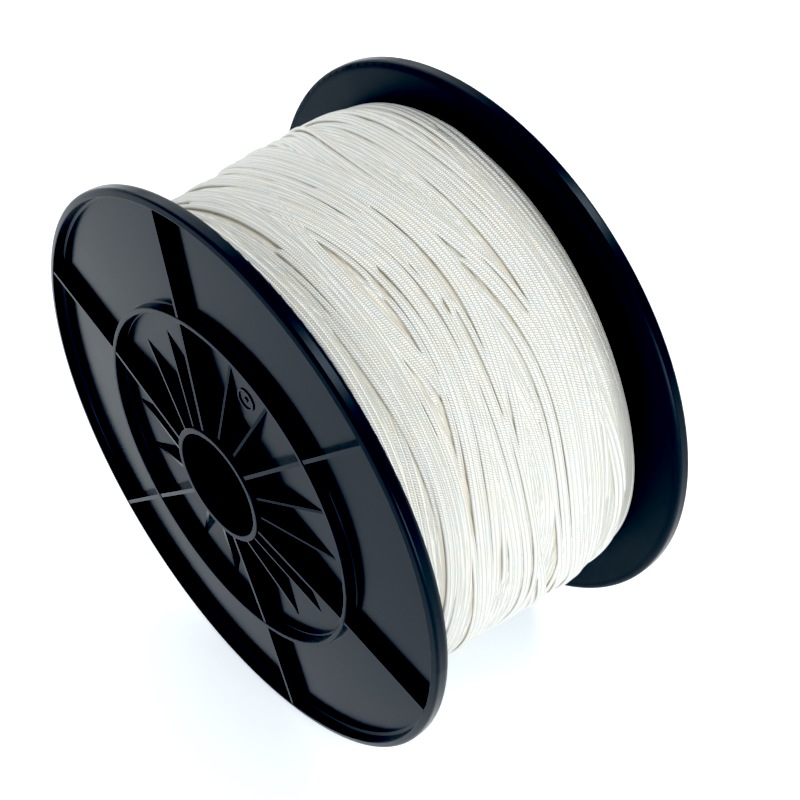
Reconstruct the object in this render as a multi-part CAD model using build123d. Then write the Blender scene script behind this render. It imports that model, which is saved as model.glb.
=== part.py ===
from build123d import *
import os

# String reel: two moulded end flanges pushed onto a barrel and a spindle tube,
# wound full with braided string. Millimetres. The reel's axis is world Y and the
# origin is the middle of the reel. Each flange is drawn once, with its local Z
# pointing outwards from the middle of the reel, and is then turned into place.

# --- overall sizes ---
flange_radius = 70.5
hub_width = 80.0            # across the two hub ends, the widest part of the reel
hub_stand = 2.8             # how far each hub end stands out beyond the rim's crown
ring_stand = 0.9            # the same for the stiffening ring

# --- flange: rim, plate, ring ---
rim_depth = 4.0             # from the rim's crown to the winding face
rim_wall = 1.9
rim_crown_fall = 0.5        # the crown slopes down this much from its inner to its outer edge
rim_crown_round = 0.8
rim_back_round = 1.5        # rounded edge of the winding face, so that it doesn't cut the string
rim_foot_round = 0.9        # fillet where the rim meets the plate
plate_thickness = 2.1       # from the hub to the ring
plate_edge_thickness = 1.1  # at the rim, because the outer plate thins outwards
ring_wall = 1.3             # the ring on the outer face stands over the barrel's wall
wall_foot_round = 0.5       # fillet where the ring or the hub meets the plate
top_edge_round = 0.25       # softened top edges of the ring and the hub

# --- hub and spindle tube ---
spindle_bore_radius = 12.45
tube_wall = 1.0
tube_seat_clearance = 0.05
seat_depth = 3.6            # from the hub's end face to the tube's end
mouth_relief = 0.5          # the hub's mouth is this much wider than the tube's bore
hub_wall = 1.55             # at the mouth
boss_wall = 2.0             # wall of the socket on the inner side of the flange
boss_length = 6.0

# --- ribs ---
main_rib_count = 6
rib_pitch = 20.0            # degrees from one rib or gusset to the next
first_rib_angle = 45.9      # from local X, degrees
rib_thickness = 1.0
rib_hub_drop = 0.35         # rib top below the hub's end
rib_ring_drop = 0.15        # rib top below the ring's top
rib_rim_drop = 0.25         # rib top below the rim's crown
gusset_thickness = 0.8
gusset_hub_drop = 0.7
gusset_gap = 5.3            # from a gusset's tip to the inside of the ring

# --- drive hole and mould disc, between the same two gussets ---
drive_hole_radius = 2.4
drive_hole_spacing = 7.3    # from the hub's outside to the hole's centre
mould_disc_radius = 2.8
mould_disc_spacing = 9.1    # from the hole's centre to the disc's centre
mould_disc_height = 0.25
mould_disc_line = 0.6

# --- barrel and its spigots ---
barrel_radius = 43.0
barrel_wall = 1.7
spigot_clearance = 0.1
spigot_wall = 1.6
spigot_length = 5.0

# --- winding: its surface stays this far below the flanges' edge ---
winding_clearance = 0.05    # between the barrel and the innermost turns
winding_front_margin = 11.9
winding_middle_margin = 9.6
winding_crown_margin = 8.4
winding_rear_margin = 10.3
winding_middle_inset = 27.5     # from the front winding face, along the axis
winding_crown_inset = 19.2      # from the rear winding face

# --- heights from the middle of the reel, worked out ---
hub_top = hub_width / 2
rim_top = hub_top - hub_stand
ring_top = rim_top + ring_stand
winding_face = rim_top - rim_depth
plate_top = winding_face + plate_thickness
plate_edge_top = winding_face + plate_edge_thickness
rib_foot = winding_face + plate_edge_thickness / 2
rim_outer_top = rim_top - rim_crown_fall
tube_end = hub_top - seat_depth

# --- radii, worked out ---
rim_inner_radius = flange_radius - rim_wall
ring_radius = barrel_radius
ring_inner_radius = ring_radius - ring_wall
gusset_reach = ring_inner_radius - gusset_gap
tube_radius = spindle_bore_radius + tube_wall
mouth_radius = spindle_bore_radius + mouth_relief
hub_radius = mouth_radius + hub_wall
seat_radius = tube_radius + tube_seat_clearance
boss_radius = seat_radius + boss_wall
barrel_inner_radius = barrel_radius - barrel_wall
spigot_radius = barrel_inner_radius - spigot_clearance
spigot_inner_radius = spigot_radius - spigot_wall
drive_hole_centre = hub_radius + drive_hole_spacing
mould_disc_centre = drive_hole_centre + mould_disc_spacing
drive_angle = first_rib_angle + 1.5 * rib_pitch


def turned(points, rounds=()):
    """Solid turned about local Z from (radius, height) points, with some corners rounded."""
    face = make_face(Polyline(*points, close=True))
    for corner, radius in rounds:
        vertex = face.vertices().sort_by_distance((corner[0], corner[1], 0))[0]
        face = fillet(vertex, radius)
    return revolve(Plane.XZ * face, Axis.Z)


def flange_shell():
    """Plate, rim, ring, hub, spigot and tube socket as one turned shape."""
    points = [
        (mouth_radius, hub_top),
        (hub_radius, hub_top),
        (hub_radius, plate_top),
        (ring_inner_radius, plate_top),
        (ring_inner_radius, ring_top),
        (ring_radius, ring_top),
        (ring_radius, plate_top),
        (rim_inner_radius, plate_edge_top),
        (rim_inner_radius, rim_top),
        (flange_radius, rim_outer_top),
        (flange_radius, winding_face),
        (spigot_radius, winding_face),
        (spigot_radius, winding_face - spigot_length),
        (spigot_inner_radius, winding_face - spigot_length),
        (spigot_inner_radius, winding_face),
        (boss_radius, winding_face),
        (boss_radius, winding_face - boss_length),
        (seat_radius, winding_face - boss_length),
        (seat_radius, tube_end),
        (mouth_radius, tube_end),
    ]
    rounds = [
        ((mouth_radius, hub_top), top_edge_round),
        ((hub_radius, hub_top), top_edge_round),
        ((hub_radius, plate_top), wall_foot_round),
        ((ring_inner_radius, plate_top), wall_foot_round),
        ((ring_inner_radius, ring_top), top_edge_round),
        ((ring_radius, ring_top), top_edge_round),
        ((ring_radius, plate_top), wall_foot_round),
        ((rim_inner_radius, plate_edge_top), rim_foot_round),
        ((rim_inner_radius, rim_top), top_edge_round),
        ((flange_radius, rim_outer_top), rim_crown_round),
        ((flange_radius, winding_face), rim_back_round),
    ]
    return turned(points, rounds)


def web(points, thickness, angle):
    """Thin upright wall drawn as (radius, height) points, turned to an angle about local Z."""
    face = Plane.XZ * make_face(Polyline(*points, close=True))
    return Rot(0, 0, angle) * extrude(face, thickness / 2, both=True)


def main_rib(angle):
    """Rib from the hub, through the ring, to the rim."""
    hub_middle = (mouth_radius + hub_radius) / 2
    ring_middle = ring_radius - ring_wall / 2
    rim_middle = rim_inner_radius + rim_wall / 2
    points = [
        (hub_middle, rib_foot),
        (hub_middle, hub_top - rib_hub_drop),
        (ring_middle, ring_top - rib_ring_drop),
        (rim_middle, rim_top - rib_rim_drop),
        (rim_middle, rib_foot),
    ]
    return web(points, rib_thickness, angle)


def gusset(angle):
    """Triangular rib, tall at the hub and running out into the plate inside the ring."""
    hub_middle = (mouth_radius + hub_radius) / 2
    points = [
        (hub_middle, rib_foot),
        (hub_middle, hub_top - gusset_hub_drop),
        (gusset_reach, plate_top),
        (gusset_reach, rib_foot),
    ]
    return web(points, gusset_thickness, angle)


def mould_disc():
    """Small raised circle left by the mould, with a dot in its middle."""
    outer = Cylinder(mould_disc_radius, mould_disc_height)
    inner = Cylinder(mould_disc_radius - mould_disc_line, mould_disc_height)
    dot = Cylinder(mould_disc_line, mould_disc_height)
    place = Rot(0, 0, drive_angle) * Pos(mould_disc_centre, 0, plate_top + mould_disc_height / 2)
    return place * (outer - inner + dot)


def flange():
    """One end flange, outer face towards local +Z."""
    body = flange_shell()
    for index in range(main_rib_count):
        angle = first_rib_angle + index * 360 / main_rib_count
        body += main_rib(angle)
        body += gusset(angle + rib_pitch)
        body += gusset(angle + 2 * rib_pitch)
    body += mould_disc()
    hole = Cylinder(drive_hole_radius, hub_width)
    body -= Rot(0, 0, drive_angle) * Pos(drive_hole_centre, 0, plate_top) * hole
    return body


def tube(outer_radius, inner_radius, length):
    """Plain tube centred on the origin, along local Z."""
    return Cylinder(outer_radius, length) - Cylinder(inner_radius, length)


def winding():
    """Outer shape of the string wound on the barrel: a thick sleeve with a crowned outside."""
    inner_radius = barrel_radius + winding_clearance
    front = (flange_radius - winding_front_margin, -winding_face)
    middle = (flange_radius - winding_middle_margin, winding_middle_inset - winding_face)
    crown = (flange_radius - winding_crown_margin, winding_face - winding_crown_inset)
    rear = (flange_radius - winding_rear_margin, winding_face)
    rising = ThreePointArc(front, middle, crown)
    falling = TangentArc(crown, rear, tangent=rising % 1)
    inside = Polyline(rear, (inner_radius, winding_face), (inner_radius, -winding_face), front)
    face = make_face(rising + falling + inside)
    return revolve(Plane.XZ * face, Axis.Z)


# Local Z turned to world -Y for the front flange; the rear one is the same moulding turned round.
to_front = Rot(90, 0, 0)
to_rear = Rot(0, 0, 180) * to_front
# The winding, barrel and tube run along world Y, with local +Z towards the rear.
along_axis = Rot(-90, 0, 0)

one_flange = flange()
nodes = {
    "front_flange": to_front * one_flange,
    "rear_flange": to_rear * one_flange,
    "barrel": along_axis * tube(barrel_radius, barrel_inner_radius, 2 * winding_face),
    "spindle_tube": along_axis * tube(tube_radius, spindle_bore_radius, 2 * tube_end),
    "string_winding": along_axis * winding(),
}

os.makedirs("parts", exist_ok=True)
for name, shape in nodes.items():
    export_step(shape, f"parts/{name}.step")
    print(f"{name}: {shape.volume / 1000:.1f} cm3")
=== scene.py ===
# %% [markdown]
# # A reel of racket string
# The reel is a black glossy moulding that is wound full with off-white braided string. The packed
# model already holds its true shape and size, so this lesson starts by loading it, and then only
# adds looks: a camera and light, two plastics, and the string itself, laid turn by turn.

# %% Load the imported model
import math

import bpy
import numpy as np
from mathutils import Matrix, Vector


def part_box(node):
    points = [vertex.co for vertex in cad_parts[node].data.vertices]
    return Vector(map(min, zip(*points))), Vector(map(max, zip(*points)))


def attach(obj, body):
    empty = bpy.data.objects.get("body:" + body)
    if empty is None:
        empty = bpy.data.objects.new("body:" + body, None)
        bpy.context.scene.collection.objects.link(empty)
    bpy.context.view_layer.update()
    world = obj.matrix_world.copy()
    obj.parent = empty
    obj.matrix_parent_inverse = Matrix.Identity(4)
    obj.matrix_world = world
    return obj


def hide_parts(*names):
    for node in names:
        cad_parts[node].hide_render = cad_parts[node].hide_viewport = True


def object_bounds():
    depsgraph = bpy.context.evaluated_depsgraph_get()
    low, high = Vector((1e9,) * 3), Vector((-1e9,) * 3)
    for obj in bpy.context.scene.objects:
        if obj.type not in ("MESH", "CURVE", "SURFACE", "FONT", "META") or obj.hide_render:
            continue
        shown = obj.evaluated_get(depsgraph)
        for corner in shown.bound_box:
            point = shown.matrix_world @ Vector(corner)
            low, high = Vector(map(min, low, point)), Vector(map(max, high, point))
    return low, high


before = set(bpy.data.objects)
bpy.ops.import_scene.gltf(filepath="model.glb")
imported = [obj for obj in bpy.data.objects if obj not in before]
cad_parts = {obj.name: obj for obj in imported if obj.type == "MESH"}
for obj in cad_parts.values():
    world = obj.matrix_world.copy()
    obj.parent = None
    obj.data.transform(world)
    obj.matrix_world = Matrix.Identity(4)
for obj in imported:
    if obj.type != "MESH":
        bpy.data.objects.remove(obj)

cad_low, cad_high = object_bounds()
mm = 0.001
print("reel size, mm:", [round((high - low) / mm, 1) for low, high in zip(cad_low, cad_high)])

# %% [markdown]
# ## Camera
# A product picture is taken with a longish lens from above one end of the reel, so that both the
# ribbed end and the string show. A lens of about 80 mm keeps the two flanges nearly the same size.
# The small shifts put the reel a little off the middle of the view without turning the camera.

# %% Place the camera
camera_azimuth = math.radians(49.35)
camera_elevation = math.radians(45.62)
camera_distance = 0.4202
camera_shift_right = 0.0104
camera_shift_up = 0.0004
lens = 81.3
sensor_width = 36
nearest_shown = 0.01

back = Vector((
    math.sin(camera_azimuth) * math.cos(camera_elevation),
    -math.cos(camera_azimuth) * math.cos(camera_elevation),
    math.sin(camera_elevation),
))
right = Vector((math.cos(camera_azimuth), math.sin(camera_azimuth), 0))
up = back.cross(right)
camera_data = bpy.data.cameras.new("camera")
camera_data.lens = lens
camera_data.sensor_width = sensor_width
camera_data.clip_start = nearest_shown
camera = bpy.data.objects.new("camera", camera_data)
camera.location = back * camera_distance + right * camera_shift_right + up * camera_shift_up
camera.rotation_mode = "QUATERNION"
camera.rotation_quaternion = (-back).to_track_quat("-Z", "Y")
bpy.context.collection.objects.link(camera)
bpy.context.scene.camera = camera
print("camera at", [round(v, 3) for v in camera.location])

# %% [markdown]
# ## Floor
# The reel stands on its two rims on a pale table. The black plastic shows almost nothing of its own
# colour: what the eye sees on it are reflections of the pale table and of the lamps. A faint glow
# in the table keeps the shadow under the reel as light as in a bright studio, where the paper under
# the object is lit from all sides.

# %% Build the floor
floor_half_width = 12.0
table_colour = (0.92, 0.92, 0.925, 1)
table_roughness = 0.7
glow_colour = (0.78, 0.90, 1, 1)
glow_strength = 0.42


def new_material(name):
    """A material with one Principled shader, returned with its node tree and the shader."""
    material = bpy.data.materials.new(name)
    material.use_nodes = True
    tree = material.node_tree
    return material, tree, tree.nodes["Principled BSDF"]


def make_floor():
    """A wide pale plane just under the rims."""
    half = floor_half_width
    mesh = bpy.data.meshes.new("floor")
    corners = [(-half, -half, 0), (half, -half, 0), (half, half, 0), (-half, half, 0)]
    mesh.from_pydata(corners, [], [(0, 1, 2, 3)])
    floor = bpy.data.objects.new("floor", mesh)
    floor.location.z = cad_low.z
    material, _, shader = new_material("pale table")
    shader.inputs["Base Color"].default_value = table_colour
    shader.inputs["Roughness"].default_value = table_roughness
    shader.inputs["Emission Color"].default_value = glow_colour
    shader.inputs["Emission Strength"].default_value = glow_strength
    mesh.materials.append(material)
    bpy.context.collection.objects.link(floor)


make_floor()
print("floor at, mm:", round(cad_low.z / mm, 1))

# %% [markdown]
# ## Light
# The lamps are large and soft, and the room is bright all round. The key lamp stands low on the
# right, a smaller one stands above, and two wide ones fill in from the front and the left. A
# picture of black things looks richer when its darkest tones are pulled down to full black. That
# could be done by darker plastic, but then its reflections would go too, so the view does it.

# %% Place the lamps
scene = bpy.context.scene
darkest_shown = (0.022, 0.018, 0.013)
room_colour = (0.96, 0.98, 1.0, 1)
room_strength = 0.72
lamps = (
    # name, place, size, power
    ("key lamp", (1.05, -0.15, 0.02), 0.6, 9.5),
    ("top lamp", (0.33, 0.46, 0.83), 0.32, 4.4),
    ("front lamp", (-0.5, -0.9, 0.9), 0.9, 3),
    ("left lamp", (-0.9, 0.25, 0.6), 0.9, 4),
)


def make_lamp(name, place, size, power):
    """A square soft lamp that points at the reel."""
    data = bpy.data.lights.new(name, "AREA")
    data.shape = "SQUARE"
    data.size = size
    data.energy = power
    lamp = bpy.data.objects.new(name, data)
    lamp.location = place
    lamp.rotation_mode = "QUATERNION"
    lamp.rotation_quaternion = (-Vector(place)).to_track_quat("-Z", "Y")
    bpy.context.collection.objects.link(lamp)


for lamp_name, lamp_place, lamp_size, lamp_power in lamps:
    make_lamp(lamp_name, lamp_place, lamp_size, lamp_power)

world = bpy.data.worlds.new("room")
world.use_nodes = True
world.node_tree.nodes["Background"].inputs["Color"].default_value = room_colour
world.node_tree.nodes["Background"].inputs["Strength"].default_value = room_strength
scene.world = world
scene.view_settings.view_transform = "Standard"
scene.view_settings.use_curve_mapping = True
scene.view_settings.curve_mapping.black_level = darkest_shown

# %% [markdown]
# ## Black plastic
# The flanges are moulded in glossy black plastic with a trace of blue. A material in Blender is a
# small network of nodes, so first come three helpers that make and join them.

# %% Helpers for materials
def link_nodes(tree, *pairs):
    """Join (from socket, to socket) pairs."""
    for source, target in pairs:
        tree.links.new(source, target)


def add_node(tree, kind, operation=None, **values):
    """A shader node with some sockets set: From_Min=1 sets the socket called From Min."""
    node = tree.nodes.new("ShaderNode" + kind)
    if operation is not None:
        node.operation = operation
    for name, value in values.items():
        node.inputs[name.replace("_", " ")].default_value = value
    return node


def arithmetic(tree, operation, first, second=None):
    """A Math node on numbers or sockets, returned as its result socket."""
    node = add_node(tree, "Math", operation)
    for socket, value in zip(node.inputs, (first, second)):
        if value is None:
            continue
        if isinstance(value, (int, float)):
            socket.default_value = value
        else:
            tree.links.new(value, socket)
    return node.outputs["Value"]


print("helpers:", link_nodes.__name__, add_node.__name__, arithmetic.__name__)

# %% [markdown]
# ### How shiny it is
# The faces that look inwards, at the string, come from a rougher half of the mould and are satin,
# so the string doesn't mirror in them. The rims are duller than the plates, because the reel is
# handled and rolled along on them. Handling also leaves faint scuffs that blur the reflection in
# patches. One material can hold all of it, by adding up roughness from where a point lies.

# %% Work out the plastic's roughness
satin_from = 33.7 * mm
gloss_from = 34.3 * mm
worn_from = 68.2 * mm
worn_fully_over = 0.8 * mm
worn_roughness = 0.08
scuff_scale = 45
scuff_detail = 6
scuffs_from = 0.35
scuffs_fully_at = 0.75
scuff_roughness = 0.08


def plastic_roughness(tree, place, roughness, satin_roughness):
    """Satin next to the string, glossy outside, duller on the rims and in handled patches."""
    axes = add_node(tree, "SeparateXYZ")
    tree.links.new(place, axes.inputs["Vector"])
    gloss = add_node(
        tree, "MapRange", From_Min=satin_from, From_Max=gloss_from,
        To_Min=satin_roughness, To_Max=roughness)
    from_middle = arithmetic(tree, "ABSOLUTE", axes.outputs["Y"])

    flat_place = add_node(tree, "VectorMath", "MULTIPLY")
    flat_place.inputs[1].default_value = (1, 0, 1)
    from_axis = add_node(tree, "VectorMath", "LENGTH")
    wear = add_node(
        tree, "MapRange", From_Min=worn_from, From_Max=worn_from + worn_fully_over,
        To_Max=worn_roughness)

    patches = add_node(tree, "TexNoise", Scale=scuff_scale, Detail=scuff_detail)
    scuffs = add_node(
        tree, "MapRange", From_Min=scuffs_from, From_Max=scuffs_fully_at, To_Max=scuff_roughness)
    link_nodes(
        tree,
        (from_middle, gloss.inputs["Value"]),
        (place, flat_place.inputs[0]),
        (flat_place.outputs["Vector"], from_axis.inputs[0]),
        (from_axis.outputs["Value"], wear.inputs["Value"]),
        (place, patches.inputs["Vector"]),
        (patches.outputs["Fac"], scuffs.inputs["Value"]),
    )
    worn = arithmetic(tree, "ADD", wear.outputs["Result"], gloss.outputs["Result"])
    return arithmetic(tree, "ADD", scuffs.outputs["Result"], worn)


print("satin up to, mm from the middle:", round(satin_from / mm, 1))

# %% [markdown]
# ### Shrink waves and the finished plastics
# Real mouldings are never a perfect mirror: the surface waves a little where the plastic shrank,
# and it has a very fine grain. Both are bumps in the shading, far too low to be worth real
# geometry. The reflections are kept weak by a low index of refraction, which is a choice for the
# look and not the plastic's real one. The barrel and the tube are plain satin.

# %% Make the plastics
plastic_ior = 1.22
wave_scale = 70
wave_strength = 0.25
grain_scale = 2500
grain_strength = 0.05
grain_height = 0.02 * mm


def plastic_normal(tree, place, wave_height):
    """Shading that waves a little, with a fine grain on top."""
    waves = add_node(tree, "TexNoise", Scale=wave_scale, Detail=2)
    grain = add_node(tree, "TexNoise", Scale=grain_scale, Detail=1)
    wave_bump = add_node(tree, "Bump", Strength=wave_strength, Distance=wave_height)
    grain_bump = add_node(tree, "Bump", Strength=grain_strength, Distance=grain_height)
    link_nodes(
        tree,
        (place, waves.inputs["Vector"]),
        (place, grain.inputs["Vector"]),
        (waves.outputs["Fac"], wave_bump.inputs["Height"]),
        (grain.outputs["Fac"], grain_bump.inputs["Height"]),
        (wave_bump.outputs["Normal"], grain_bump.inputs["Normal"]),
    )
    return grain_bump.outputs["Normal"]


def make_plastic(name, colour, roughness, satin_roughness, wave_height, tint):
    """Black plastic with faint shrink waves and patchy handling marks, satin near the string."""
    material, tree, shader = new_material(name)
    shader.inputs["Base Color"].default_value = (*colour, 1)
    shader.inputs["IOR"].default_value = plastic_ior
    shader.inputs["Specular Tint"].default_value = (*tint, 1)
    place = add_node(tree, "TexCoord").outputs["Object"]
    link_nodes(
        tree,
        (plastic_roughness(tree, place, roughness, satin_roughness), shader.inputs["Roughness"]),
        (plastic_normal(tree, place, wave_height), shader.inputs["Normal"]),
    )
    return material


def finish_node(name, material):
    """Give a CAD node a material."""
    node = bpy.data.objects[name]
    node.data.materials.clear()
    node.data.materials.append(material)


flange_plastic = make_plastic(
    "glossy black plastic", colour=(0.0016, 0.0026, 0.0042), roughness=0.15,
    satin_roughness=0.42, wave_height=0.12 * mm, tint=(0.72, 0.87, 1.0))
tube_plastic = make_plastic(
    "satin black plastic", colour=(0.003, 0.003, 0.004), roughness=0.45,
    satin_roughness=0.45, wave_height=0.10 * mm, tint=(0.8, 0.9, 1.0))
for node_name in ("front_flange", "rear_flange"):
    finish_node(node_name, flange_plastic)
for node_name in ("barrel", "spindle_tube"):
    finish_node(node_name, tube_plastic)
print("plastics:", flange_plastic.name, "and", tube_plastic.name)

# %% [markdown]
# ## The string's route
# A winding machine guides the string to and fro along the barrel. It lays flat bands of several
# turns side by side, and each band sways a little as the reel turns, so a band's edge runs over the
# edge of the band before it in one place and leaves the layer below open in another. The route is
# worked out as one long line of places along the axis, one for each step of the turning reel. The
# sway is a few waves of random size round the reel, so that it meets itself after a full turn.

# %% Set the string's size and its sway
string_radius = 0.65 * mm
steps_per_turn = 240
reel_low, reel_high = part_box("string_winding")
wall_front = reel_low.y + string_radius
wall_rear = reel_high.y - string_radius
wall_middle = (wall_front + wall_rear) / 2
wall_room = (wall_rear - wall_front) / 2
pitch = 2.0 * string_radius
randomness = np.random.default_rng(23)


def smooth_step(x):
    """Ease from 0 to 1."""
    x = np.clip(x, 0, 1)
    return x * x * (3 - 2 * x)


def random_waves(sizes):
    """Random sine and cosine parts, one pair for each number of waves in a turn."""
    return np.array([randomness.normal(0, size, 2) for size in sizes])


def sway_at(waves, angle):
    """Sideways sway at each angle."""
    total = np.zeros_like(angle)
    for count, (sine, cosine) in enumerate(waves, start=1):
        total += sine * np.sin(count * angle) + cosine * np.cos(count * angle)
    return total


print("room for turns side by side:", round(2 * wall_room / pitch))

# %% [markdown]
# ### One layer
# A layer goes from one flange to the other in bands of a few turns. Each new band starts a strand
# or two back, so that it lies on the edge of the last one, and its sway is partly the old sway and
# partly new. Next to a flange there is no room to sway, so the bands run straight there.

# %% Plan one layer of bands
band_turns = (4, 9)
joining_turns = 0.8
sway_kept = 0.72
sway_fades_by = 0.7
sway_changes = (2.4 * mm, 2.0 * mm, 1.5 * mm, 0.8 * mm)


def layer_route(start_angle, direction, waves, step_back):
    """One layer of bands, from one wall to the other, as angles and places."""
    angles = []
    places = []
    place = -direction * wall_room
    angle_now = start_angle
    last_place = None
    while direction * place < wall_room - pitch:
        turns_left = (wall_room - direction * place) / pitch
        turns = min(int(randomness.integers(*band_turns)), turns_left)
        count = int(turns * steps_per_turn)
        angle = angle_now + np.arange(1, count + 1) * 2 * np.pi / steps_per_turn
        centre = place + direction * np.arange(count) / steps_per_turn * pitch
        freedom = (1 - (centre[count // 2] / wall_room) ** 2) ** sway_fades_by
        row = centre + freedom * sway_at(waves, angle)
        if last_place is not None:
            joining = int(joining_turns * steps_per_turn)
            blend = smooth_step(np.arange(joining) / joining)
            row[:joining] = last_place + (row[:joining] - last_place) * blend
        angles.append(angle)
        places.append(row)
        angle_now = angle[-1]
        last_place = row[-1]
        if turns == turns_left:
            break
        place += direction * (turns - randomness.uniform(*step_back)) * pitch
        waves = sway_kept * waves + random_waves(sway_changes)
    return np.concatenate(angles), np.concatenate(places), waves


print("turns in a band:", band_turns[0], "to", band_turns[1] - 1)

# %% [markdown]
# ### All layers
# A straight bed comes first, so that nothing shows through, and three layers of swaying bands go on
# top of it, to and fro. The whole string also wanders by less than a tenth of its width, because
# soft string never lies dead straight.

# %% Plan the whole route
first_sway = (3.4 * mm, 2.2 * mm, 1.4 * mm, 0.7 * mm)
wander_size = 0.08 * mm
layers = (
    # direction, strands that each band steps back
    (-1, (0.5, 1.5)),
    (1, (0.5, 1.5)),
    (-1, (0.8, 2.4)),
)


def plan_route():
    """A straight bed, then layers of swaying bands, each starting where the last one ended."""
    count = int(2 * wall_room / pitch * steps_per_turn)
    angles = [np.arange(count) * 2 * np.pi / steps_per_turn]
    places = [-wall_room + np.arange(count) / steps_per_turn * pitch]
    waves = random_waves(first_sway)
    for direction, step_back in layers:
        angle, place, waves = layer_route(angles[-1][-1], direction, waves, step_back)
        angles.append(angle)
        places.append(place)
    places = np.concatenate(places) + wall_middle
    window = np.hanning(steps_per_turn // 2)
    window = window / np.sqrt((window ** 2).sum())
    wander = np.convolve(randomness.normal(0, wander_size, len(places)), window, mode="same")
    return np.concatenate(angles), np.clip(places + wander, wall_front, wall_rear)


route_angle, route_place = plan_route()
print("turns laid:", round(len(route_angle) / steps_per_turn))

# %% [markdown]
# ## The winding's shape
# The full reel is not a plain cylinder. The string stands highest behind the middle and falls away
# towards both flanges, and next to the rear flange it lies lower still on one side, as if the
# machine had turned back early there. So the shape is a short outline along the axis and one soft
# hollow.

# %% Describe the finished winding
outer_points = ((-33.2, 58.6), (-20.0, 59.9), (-5.7, 60.9), (14.0, 62.1), (25.0, 61.7), (33.2, 60.2))
shoulder_from = 26 * mm
shoulder_width = 7.2 * mm
shoulder_depth = 5.0 * mm
low_side_angle = math.radians(28)
low_side_narrowness = 9


def outer_radius(place):
    """Height of the finished winding along the reel's axis."""
    along, height = zip(*outer_points)
    return np.interp(np.asarray(place) / mm, along, height) * mm


def shoulder(place, angle):
    """How much lower the turns next to the rear flange lie, which is mostly on one side."""
    near_flange = np.clip((place - shoulder_from) / shoulder_width, 0, 1)
    low_side = ((1 + np.cos(angle - low_side_angle)) / 2) ** low_side_narrowness
    return shoulder_depth * near_flange ** 2 * low_side


print("greatest winding radius, mm:", max(height for along, height in outer_points))

# %% [markdown]
# ## Laying the string
# Each new piece of string comes to rest on what is already there. A physics simulation of a hundred
# metres of string would be slow and could fail, so the surface of the winding is kept as a map of
# heights instead, one column for each step round the reel. A tight string also bridges the hollows
# between high spots, which is a parabola around each spot on a round reel. So the string climbs
# over older bands and dives between them as the real one does.

# %% Lay the string on a map of heights
cell = 0.1 * mm
first_depth = 4.6 * mm
resting_radius = 0.90 * string_radius
strand_cells = 6
bridge_steps = 9


def lay_string(angles, places):
    """Radius of the string's middle at each step, and the final map of heights."""
    rows = int(round((reel_high.y - reel_low.y) / cell)) + 1
    row_place = reel_low.y + np.arange(rows) * cell
    surface = np.tile(outer_radius(row_place) - first_depth, (steps_per_turn, 1))
    offsets = np.arange(-strand_cells, strand_cells + 1)
    rest_height = np.sqrt(np.maximum(resting_radius ** 2 - (offsets * cell) ** 2, 0))
    shape_height = np.sqrt(np.maximum(string_radius ** 2 - (offsets * cell) ** 2, 0))
    bridge = np.arange(-bridge_steps, bridge_steps + 1)
    step_length = 2 * np.pi * outer_radius(0) / steps_per_turn
    drop = (bridge * step_length) ** 2 / (2 * outer_radius(0))
    total = len(angles)
    columns = np.arange(total) % steps_per_turn
    row = np.round((places - reel_low.y) / cell).astype(int)
    touch = np.zeros(total + bridge_steps)
    middle = np.zeros(total)
    quarter_turn = steps_per_turn // 4
    for start in range(0, total, quarter_turn):
        stop = min(start + quarter_turn, total)
        ahead = np.arange(start, min(stop + bridge_steps, total))
        cells = np.clip(row[ahead, None] + offsets, 0, rows - 1)
        touch[ahead] = (surface[columns[ahead, None], cells] + rest_height).max(1)
        touch[total:] = touch[total - 1]
        here = np.arange(start, stop)
        near = np.clip(here[:, None] + bridge, 0, total - 1)
        middle[here] = (touch[near] - drop).max(1)
        cells = np.clip(row[here, None] + offsets, 0, rows - 1)
        new_height = middle[here, None] + shape_height
        old_height = surface[columns[here, None], cells]
        surface[columns[here, None], cells] = np.maximum(old_height, new_height)
    return middle, surface, row_place


laid_radius, laid_surface, row_place = lay_string(route_angle, route_place)
print("highest point laid, mm:", round(float(laid_surface.max()) / mm, 1))

# %% [markdown]
# ## Pressing the winding
# The string is soft and every outer turn pulls on the ones below, so on the real reel the piled-up
# bands are pressed to about a millimetre of relief. Here each height is taken against the average
# of its row, squeezed by a curve that flattens towards both ends, and put on the finished shape.

# %% Press it into shape
relief = 0.50 * mm
level = 1.8 * mm
smoothing_cells = 30
average_height = np.median(laid_surface, axis=0)
smoothing = np.hanning(2 * smoothing_cells + 1)
padded = np.pad(average_height, smoothing_cells, mode="edge")
average_height = np.convolve(padded, smoothing / smoothing.sum(), mode="valid")


def pressed(height, place, angle):
    """Height after the tight outer turns have pressed the soft string into its final shape."""
    laid = np.interp(place, row_place, average_height)
    finished = outer_radius(place) - shoulder(place, angle)
    return finished + relief * np.tanh((height - laid) / level)


route_radius = pressed(laid_radius + string_radius, route_place, route_angle) - string_radius
column_angle = np.arange(steps_per_turn)[:, None] * 2 * np.pi / steps_per_turn
surface_map = pressed(laid_surface, row_place, column_angle)
lowest, highest = np.percentile(surface_map - outer_radius(row_place), (1, 99)) / mm
print("surface below and above the outline, mm:", round(lowest, 2), round(highest, 2))

# %% [markdown]
# ## String material
# The string is a fine braid: along each side of a strand runs a row of small leaning stitches, and
# the stitches of one row sit opposite the gaps of the next. Each stitch is a small rounded tile.
# Stitches half a millimetre long on a hundred metres of string would be millions of faces, so they
# are made in the material, from a map that runs along and around the string.

# %% Draw the stitches
stitch_length = 0.58
rows_around = 4.0
stitch_lean = 0.9
stitch_fullness = 0.6


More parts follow.
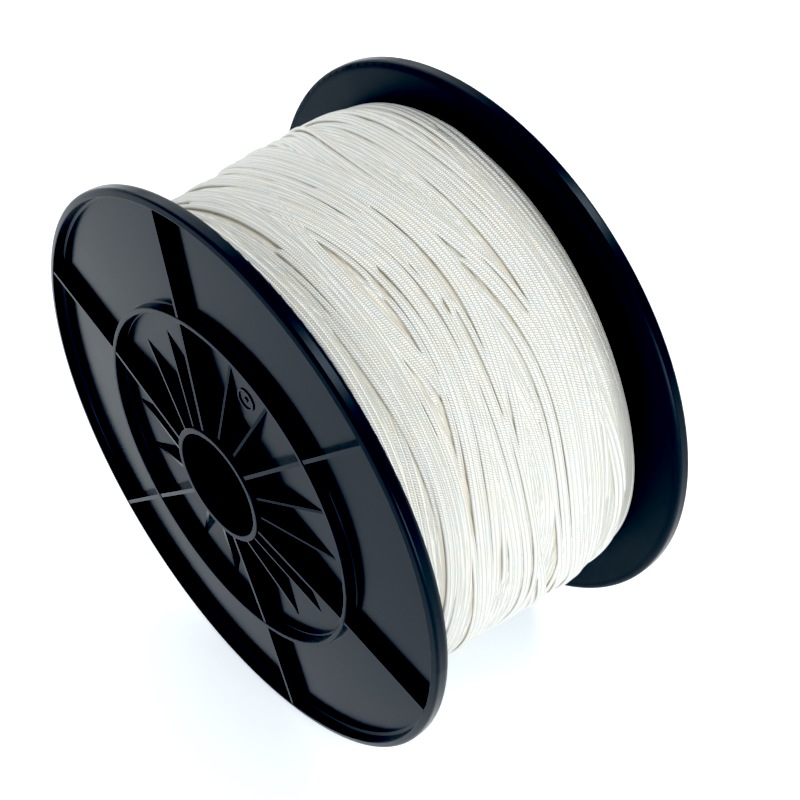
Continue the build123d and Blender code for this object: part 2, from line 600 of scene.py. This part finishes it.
def stitch_pattern(tree):
    """Height of the braid, from 0 in the gaps between stitches to 1 on top of a stitch."""
    coordinates = add_node(tree, "UVMap")
    coordinates.uv_map = "along_and_around"
    split = add_node(tree, "SeparateXYZ")
    tree.links.new(coordinates.outputs["UV"], split.inputs["Vector"])

    row_number = arithmetic(tree, "MULTIPLY", split.outputs["Y"], rows_around)
    odd_row = arithmetic(tree, "MODULO", arithmetic(tree, "FLOOR", row_number), 2.0)
    across = arithmetic(tree, "FRACT", row_number)
    side_of_row = arithmetic(tree, "SUBTRACT", arithmetic(tree, "MULTIPLY", odd_row, 2.0), 1.0)
    from_row_middle = arithmetic(tree, "SUBTRACT", across, 0.5)
    leaning = arithmetic(tree, "MULTIPLY", from_row_middle, side_of_row)
    shift = arithmetic(
        tree, "ADD",
        arithmetic(tree, "MULTIPLY", leaning, stitch_lean),
        arithmetic(tree, "MULTIPLY", odd_row, 0.5))
    stitch_number = arithmetic(
        tree, "ADD", arithmetic(tree, "DIVIDE", split.outputs["X"], stitch_length), shift)
    along = arithmetic(tree, "FRACT", stitch_number)
    hump_across = arithmetic(tree, "SINE", arithmetic(tree, "MULTIPLY", across, math.pi))
    hump_along = arithmetic(tree, "SINE", arithmetic(tree, "MULTIPLY", along, math.pi))
    hump = arithmetic(tree, "MULTIPLY", hump_across, hump_along)
    return arithmetic(tree, "POWER", hump, stitch_fullness)


print("stitches, mm long:", stitch_length, "rows round the string:", rows_around)

# %% [markdown]
# ### Colours of the string
# The yarn is off-white, in places cool and in places warm. The gaps between stitches are painted
# grey-green, as painted shade in the braid's creases. Deep between the strands the string is painted
# tan as painted shade, because light reaches it there only after bouncing off other string.

# %% Make the braided string material
cool_yarn = (0.84, 0.87, 0.87)
warm_yarn = (0.90, 0.865, 0.80)
# painted shade: the gaps between stitches are coloured darker
painted_gap_shade_colour = (0.40, 0.41, 0.36)
# painted shade: tan colour where the string lies deep between strands
painted_deep_shade_colour = (0.62, 0.58, 0.48)
yarn_scale = 260
yarn_warm_from = 0.35
yarn_warm_fully_at = 0.65
gap_ends_at = 0.2
stitch_top_from = 0.95
fibre_scale = 2600
fibre_height = 0.3
braid_height = 0.17 * mm
braid_strength = 0.8
string_roughness = 0.45
string_sheen = 0.15


def mix_colours(tree, share, first, second):
    """A colour between two, each of which is a colour or a socket."""
    node = add_node(tree, "Mix")
    node.data_type = "RGBA"
    tree.links.new(share, node.inputs["Factor"])
    for name, value in (("A", first), ("B", second)):
        if isinstance(value, tuple):
            node.inputs[name].default_value = (*value, 1)
        else:
            tree.links.new(value, node.inputs[name])
    return node.outputs["Result"]


def make_braid():
    """Off-white braid: stitches in bump and colour, painted shade in gaps and deep down."""
    material, tree, shader = new_material("off-white braided string")
    place = add_node(tree, "TexCoord").outputs["Object"]
    stitch = stitch_pattern(tree)
    depth = add_node(tree, "Attribute")
    depth.attribute_name = "depth"
    yarn = add_node(tree, "TexNoise", Scale=yarn_scale, Detail=3)
    yarn_share = add_node(
        tree, "MapRange", From_Min=yarn_warm_from, From_Max=yarn_warm_fully_at)
    stitch_share = add_node(tree, "MapRange", From_Min=gap_ends_at, From_Max=stitch_top_from)
    fibres = add_node(tree, "TexNoise", Scale=fibre_scale, Detail=2)
    bump = add_node(tree, "Bump", Strength=braid_strength, Distance=braid_height)
    yarn_colour = mix_colours(tree, yarn_share.outputs["Result"], cool_yarn, warm_yarn)
    # painted shade: darker colour in the gaps between stitches
    thread_colour = mix_colours(tree, stitch_share.outputs["Result"], painted_gap_shade_colour, yarn_colour)
    # painted shade: the depth attribute mixes in tan where the string lies deep
    final_colour = mix_colours(tree, depth.outputs["Fac"], thread_colour, painted_deep_shade_colour)
    mottled = arithmetic(tree, "MULTIPLY", fibres.outputs["Fac"], fibre_height)
    height = arithmetic(tree, "ADD", stitch, mottled)
    link_nodes(
        tree,
        (place, yarn.inputs["Vector"]),
        (place, fibres.inputs["Vector"]),
        (yarn.outputs["Fac"], yarn_share.inputs["Value"]),
        (stitch, stitch_share.inputs["Value"]),
        (final_colour, shader.inputs["Base Color"]),
        (height, bump.inputs["Height"]),
        (bump.outputs["Normal"], shader.inputs["Normal"]),
    )
    shader.inputs["Roughness"].default_value = string_roughness
    shader.inputs["Sheen Weight"].default_value = string_sheen
    return material


string_material = make_braid()
print("string material:", string_material.name)

# %% [markdown]
# ## How deep each strand lies
# The painted tan shade needs to know how far a point lies under the strands around it. The map of
# heights already holds that: a point is deep when the highest surface near it is well above it.

# %% Measure how deep the string lies
nearby_cells = 8
hidden_from = 0.5 * mm
hidden_fully_over = 0.6 * mm


def highest_nearby(surface, reach):
    """The highest surface within reach cells along the axis."""
    top = surface.copy()
    for shift in range(1, reach + 1):
        top[:, shift:] = np.maximum(top[:, shift:], surface[:, :-shift])
        top[:, :-shift] = np.maximum(top[:, :-shift], surface[:, shift:])
    return top


# the share of painted tan shade at each point
def deepness(angle, place, radius):
    """How far under the winding's surface a point lies, from 0 at the top to 1 deep down."""
    column = np.round(angle / (2 * np.pi) * steps_per_turn).astype(int) % steps_per_turn
    row = np.clip(np.round((place - reel_low.y) / cell).astype(int), 0, len(row_place) - 1)
    return smooth_step((nearby_top[column, row] - radius - hidden_from) / hidden_fully_over)


nearby_top = highest_nearby(surface_map, nearby_cells)
print("looked for higher string within, mm:", round(nearby_cells * cell / mm, 1))

# %% [markdown]
# ## String meshes
# The route becomes round tubes, a little wider than high because tight string is pressed flat. A
# curve with a round bevel could do it, but a mesh made here has its own map for the stitches and
# its own depth for the painted shade. A mesh of the whole string would be very large, so it is cut
# into stretches, and each stretch is a closed tube of its own.

# %% Shape one stretch of string
sides = 10
half_width = 1.06 * string_radius
half_height = 0.95 * string_radius


def tube_points(angle, place, radius):
    """Rings of points round the route."""
    along = np.stack([radius * np.cos(angle), place, radius * np.sin(angle)], 1)
    forward = np.gradient(along, axis=0)
    forward /= np.linalg.norm(forward, axis=1, keepdims=True)
    outward = np.stack([np.cos(angle), np.zeros_like(angle), np.sin(angle)], 1)
    sideways = np.cross(forward, outward)
    sideways /= np.linalg.norm(sideways, axis=1, keepdims=True)
    outward = np.cross(sideways, forward)
    turn = np.arange(sides) * 2 * np.pi / sides
    points = (
        along[:, None, :]
        + half_height * np.cos(turn)[None, :, None] * outward[:, None, :]
        + half_width * np.sin(turn)[None, :, None] * sideways[:, None, :]
    )
    return points.reshape(-1, 3)


def tube_faces(count):
    """Four-sided faces between the rings, and one flat face on each end."""
    ring = np.arange(count - 1)[:, None] * sides
    side = np.arange(sides)[None, :]
    next_ring = ring + sides
    next_side = (side + 1) % sides
    quads = np.stack([ring + side, next_ring + side, next_ring + next_side, ring + next_side], -1)
    faces = quads.reshape(-1, 4).tolist()
    faces.append(list(range(sides)))
    faces.append(list(range((count - 1) * sides, count * sides))[::-1])
    return faces


def tube_map(length):
    """The stitches' map: millimetres along the string, and the share of the way round it."""
    side = np.arange(sides)[None, :]
    start_u = (length[:-1] / mm)[:, None] + 0 * side
    end_u = (length[1:] / mm)[:, None] + 0 * side
    low_v = side / sides + 0 * start_u
    high_v = (side + 1) / sides + 0 * start_u
    corners = np.stack([
        np.stack([start_u, low_v], -1), np.stack([end_u, low_v], -1),
        np.stack([end_u, high_v], -1), np.stack([start_u, high_v], -1),
    ], 2)
    end_faces = 2
    end_map = np.zeros(end_faces * sides * 2)
    return np.concatenate([corners.ravel(), end_map])


print("sides of the tube:", sides)

# %% [markdown]
# ### All stretches
# Every piece of string gets a map for its stitches, its depth and the same material. Together they
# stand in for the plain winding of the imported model.

# %% Build the stretches
stretch_turns = 20


def add_string_piece(name, mesh, stitch_map, depth):
    """Finish a mesh of string and put it on the reel."""
    layer = mesh.uv_layers.new(name="along_and_around")
    layer.data.foreach_set("uv", np.asarray(stitch_map, dtype=np.float32))
    attribute = mesh.attributes.new("depth", "FLOAT", "POINT")
    attribute.data.foreach_set("value", np.asarray(depth, dtype=np.float32))
    mesh.materials.append(string_material)
    piece = bpy.data.objects.new(name, mesh)
    bpy.context.collection.objects.link(piece)
    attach(piece, "root")
    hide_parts("string_winding")


def make_stretch(name, angle, place, radius, length):
    """One stretch of string as a closed tube."""
    points = tube_points(angle, place, radius)
    mesh = bpy.data.meshes.new(name)
    mesh.from_pydata(points.tolist(), [], tube_faces(len(angle)))
    mesh.shade_smooth()
    point_angle = np.arctan2(points[:, 2], points[:, 0])
    point_radius = np.hypot(points[:, 0], points[:, 2])
    depth = deepness(point_angle, points[:, 1], point_radius)
    add_string_piece(name, mesh, tube_map(length), depth)


between_radius = (route_radius[1:] + route_radius[:-1]) / 2
step_lengths = np.hypot(np.diff(route_place), np.diff(route_angle) * between_radius)
route_length = np.concatenate([[0], np.cumsum(step_lengths)])
stretch_steps = stretch_turns * steps_per_turn
starts = range(0, len(route_angle) - 1, stretch_steps)
for index, start in enumerate(starts):
    part = slice(start, min(start + stretch_steps + 1, len(route_angle)))
    make_stretch(f"string_turns_{index + 1}", route_angle[part], route_place[part],
                 route_radius[part], route_length[part])
print("stretches:", len(starts), "string shown, m:", round(route_length[-1], 1))

# %% [markdown]
# ## The string underneath
# Below the turns that can be seen lie many more. They are one thick sleeve, down to the barrel,
# painted all over in the tan painted shade, which only shows in the gaps between the deepest strands.

# %% Build the sleeve
barrel_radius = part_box("barrel")[1].x
sleeve_under_relief = 0.8 * mm
sleeve_segments = 128
sleeve_rows = 24
sleeve_map_radius = 60


def make_sleeve():
    """Closed sleeve from the barrel up to just under the lowest turns that are shown."""
    places = np.linspace(reel_low.y, reel_high.y, sleeve_rows)
    size = sleeve_rows + 2
    points = []
    for step in range(sleeve_segments):
        angle = 2 * math.pi * step / sleeve_segments
        radii = outer_radius(places) - shoulder(places, angle) - relief - sleeve_under_relief
        profile = [(barrel_radius, places[0])]
        profile += list(zip(radii, places))
        profile += [(barrel_radius, places[-1])]
        points += [(r * math.cos(angle), y, r * math.sin(angle)) for r, y in profile]
    faces = []
    for step in range(sleeve_segments):
        this = step * size
        after = (step + 1) % sleeve_segments * size
        for corner in range(size):
            following = (corner + 1) % size
            faces.append((this + corner, this + following, after + following, after + corner))
    mesh = bpy.data.meshes.new("string_core")
    mesh.from_pydata(points, [], faces)
    stitch_map = []
    for loop in mesh.loops:
        x, y, z = points[loop.vertex_index]
        stitch_map += [math.atan2(z, x) * sleeve_map_radius, y / (4 * string_radius)]
    # depth 1 everywhere: the whole sleeve gets the full painted tan shade
    add_string_piece("string_core", mesh, stitch_map, [1.0] * len(points))
    return len(faces)


print("faces in the sleeve:", make_sleeve())
